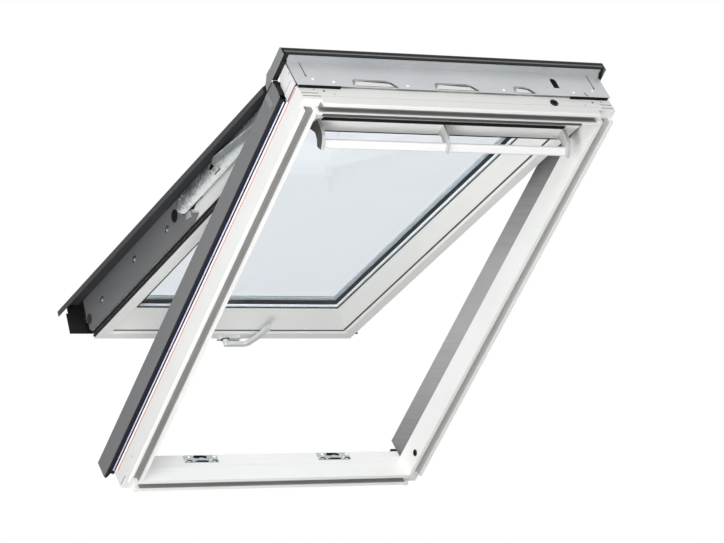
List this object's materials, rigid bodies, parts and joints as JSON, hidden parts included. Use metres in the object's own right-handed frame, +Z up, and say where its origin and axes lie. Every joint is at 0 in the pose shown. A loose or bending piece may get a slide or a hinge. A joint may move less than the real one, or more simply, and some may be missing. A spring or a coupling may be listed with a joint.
{
  "type": "roof window",
  "caption": "White roof window for a pitched roof, top-hung and centre-pivot sash standing open, with vent flap, bar and bottom handle.",
  "frame": {"origin": "middle of the frame's bottom outer face, where the frame stands on the roof batten", "axes": "+X to the right seen from the room, +Y outdoors, +Z up; the frame lies in a roof of 45 degrees"},
  "size_m": [0.81, 1.1517, 0.9528],
  "materials": {
    "white_lacquer": "satin white lacquer",
    "dark_aluminium": "matt dark grey coating",
    "black_rubber": "black sealing rubber",
    "galvanised_steel": "galvanised",
    "window_glass": "clear",
    "mill_aluminium": "plain",
    "edge_sealant": "dull sealant",
    "grey_aluminium": "satin",
    "cast_alloy": "silver coating",
    "flap_lacquer": "white coating"
  },
  "bodies": {
    "frame": {"bolt_bush": "black_rubber", "bottom_rail": "white_lacquer", "cable_grommet": "black_rubber", "channel_wall_left": "mill_aluminium", "channel_wall_right": "mill_aluminium", "hinge_bracket_left": "galvanised_steel", "hinge_bracket_right": "galvanised_steel", "hood": "grey_aluminium", "hood_bar": "black_rubber", "hood_end_left": "black_rubber", "hood_end_right": "black_rubber", "side_cladding_left": "dark_aluminium", "side_cladding_right": "dark_aluminium", "side_gasket_left": "black_rubber", "side_gasket_right": "black_rubber", "side_rail_left": "white_lacquer", "side_rail_right": "white_lacquer", "side_trim_left": "mill_aluminium", "side_trim_right": "mill_aluminium", "striker_left": "galvanised_steel", "striker_right": "galvanised_steel", "top_plate": "grey_aluminium", "top_rail": "white_lacquer"},
    "arms": {"arm_cover_left": "dark_aluminium", "arm_cover_right": "dark_aluminium", "arm_left": "galvanised_steel", "arm_right": "galvanised_steel"},
    "struts": {"balance_strut_left": "galvanised_steel", "balance_strut_right": "galvanised_steel"},
    "sash": {"bottom_apron": "black_rubber", "corner_end_left": "black_rubber", "corner_end_right": "black_rubber", "edge_seal": "edge_sealant", "flap_ears": "flap_lacquer", "handle_base": "cast_alloy", "inner_gasket": "black_rubber", "inner_pane": "window_glass", "lower_cover_left": "dark_aluminium", "lower_cover_right": "dark_aluminium", "outer_gasket": "black_rubber", "outer_pane": "window_glass", "panel_screws": "galvanised_steel", "pivot_bearing_left": "black_rubber", "pivot_bearing_right": "black_rubber", "ring_fittings": "galvanised_steel", "sash_bottom_rail": "white_lacquer", "sash_gasket_left": "black_rubber", "sash_gasket_right": "black_rubber", "sash_outer_cover": "dark_aluminium", "sash_stile_left": "white_lacquer", "sash_stile_right": "white_lacquer", "sash_top_rail": "white_lacquer", "side_panel_left": "dark_aluminium", "side_panel_right": "dark_aluminium", "spacer": "mill_aluminium"},
    "lock": {"lock_rod": "galvanised_steel"},
    "handle": {"handle_lever": "cast_alloy"},
    "flap": {"vent_flap": "flap_lacquer", "flap_brackets": "flap_lacquer", "control_bar": "mill_aluminium"}
  },
  "joints": [
    {"name": "top_hinge", "type": "hinge", "parent": "frame", "child": "arms", "pos_m": [0, -0.73893, 0.87328], "axis": [1, 0, 0], "range_deg": [-19.9, 25]},
    {"name": "centre_pivot", "type": "hinge", "parent": "arms", "child": "sash", "pos_m": [0, -0.25053, 0.62263], "axis": [1, 0, 0], "range_deg": [0, 140]},
    {"name": "strut_pivot", "type": "hinge", "parent": "frame", "child": "struts", "pos_m": [0, -0.71276, 0.81459], "axis": [1, 0, 0], "range_deg": [-23.5, 29.5]},
    {"name": "handle_turn", "type": "hinge", "parent": "sash", "child": "handle", "pos_m": [-0.006, 0.20284, 0.3175], "axis": [0, -0.4242, -0.9056], "range_deg": [0, 90]},
    {"name": "lock_slide", "type": "slide", "parent": "sash", "child": "lock", "axis": [1, 0, 0], "range_m": [0, 0.016]},
    {"name": "flap_hinge", "type": "hinge", "parent": "sash", "child": "flap", "pos_m": [0, -0.74238, 0.77021], "axis": [1, 0, 0], "range_deg": [0, 25]}
  ],
  "couplings": [
    {"joint": "strut_pivot", "follows": "top_hinge", "ratio": 1.1442},
    {"joint": "lock_slide", "follows": "handle_turn", "m_per_rad": 0.010186}
  ]
}
